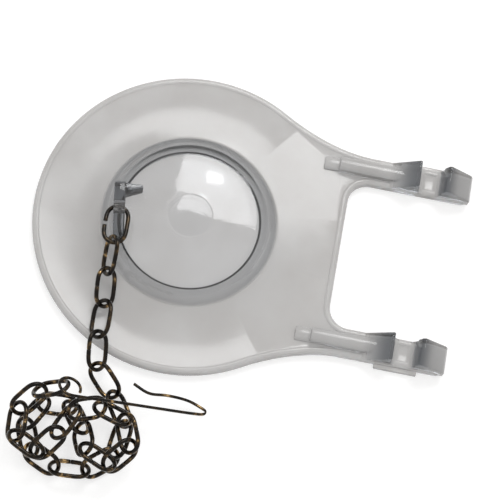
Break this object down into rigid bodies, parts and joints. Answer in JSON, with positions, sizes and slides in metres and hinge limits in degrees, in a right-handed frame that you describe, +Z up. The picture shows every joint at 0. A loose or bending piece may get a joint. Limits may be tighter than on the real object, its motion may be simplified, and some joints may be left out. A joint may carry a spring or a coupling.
{
  "type": "toilet flapper",
  "caption": "Round clear vinyl flush valve flapper with a hollow air dome, a forked web with two eared arms, and a chain of bent wire links with a wire clip.",
  "frame": {"origin": "centre of the sealing disc on its underside", "axes": "+X from the disc towards the two arms, +Z up from the underside through the dome, +Y to the left seen from the disc towards the arms"},
  "size_m": [0.1151, 0.1152, 0.0184],
  "materials": {
    "moulding": "clear glossy soft vinyl",
    "chain": "dark bronzed, polished"
  },
  "bodies": {
    "flapper": {"flapper_body": "moulding"},
    "link_01": {"chain_link_01": "chain"},
    "link_02": {"chain_link_02": "chain"},
    "link_03": {"chain_link_03": "chain"},
    "link_04": {"chain_link_04": "chain"},
    "link_05": {"chain_link_05": "chain"},
    "link_06": {"chain_link_06": "chain"},
    "chain_rest": {"chain_link_07": "chain", "chain_link_08": "chain", "chain_link_09": "chain", "chain_link_10": "chain", "chain_link_11": "chain", "chain_link_12": "chain", "chain_link_13": "chain", "chain_link_14": "chain", "chain_link_15": "chain", "chain_link_16": "chain", "chain_link_17": "chain", "chain_link_18": "chain", "chain_link_19": "chain", "chain_link_20": "chain", "chain_link_21": "chain", "chain_link_22": "chain", "chain_link_23": "chain", "chain_link_24": "chain", "chain_link_25": "chain", "chain_link_26": "chain", "chain_link_27": "chain"},
    "clip": {"chain_clip": "chain"}
  },
  "joints": [
    {"name": "link_01_on_lug", "type": "hinge", "parent": "flapper", "child": "link_01", "pos_m": [-0.01861, -0.00203, 0.0109], "axis": [-0.9996, -0.029, 0], "range_deg": [0, 90]},
    {"name": "link_02_on_link_01", "type": "hinge", "parent": "link_01", "child": "link_02", "pos_m": [-0.01831, -0.01232, 0.0114], "axis": [-1, -0.0067, 0], "range_deg": [0, 45]},
    {"name": "link_03_on_link_02", "type": "hinge", "parent": "link_02", "child": "link_03", "pos_m": [-0.01828, -0.02022, 0.00834], "axis": [-0.996, -0.0892, 0], "range_deg": [0, 25]},
    {"name": "link_04_on_link_03", "type": "hinge", "parent": "link_03", "child": "link_04", "pos_m": [-0.01748, -0.02831, 0.0062], "axis": [-0.9992, -0.0393, 0], "range_deg": [0, 25]},
    {"name": "link_05_on_link_04", "type": "hinge", "parent": "link_04", "child": "link_05", "pos_m": [-0.01719, -0.03674, 0.00649], "axis": [-0.9924, -0.1228, 0], "range_deg": [0, 30]},
    {"name": "link_06_on_link_05", "type": "hinge", "parent": "link_05", "child": "link_06", "pos_m": [-0.0161, -0.04494, 0.00495], "axis": [-0.7079, -0.7063, 0], "range_deg": [0, 30]},
    {"name": "rest_on_link_06", "type": "hinge", "parent": "link_06", "child": "chain_rest", "pos_m": [-0.00989, -0.05035, 0.00242], "axis": [-0.8487, -0.5289, 0], "range_deg": [0, 30]},
    {"name": "clip_on_last_link", "type": "hinge", "parent": "chain_rest", "child": "clip", "pos_m": [-0.02172, -0.05291, 0.01585], "axis": [0.1219, -0.9925, 0], "range_deg": [0, 20]}
  ]
}
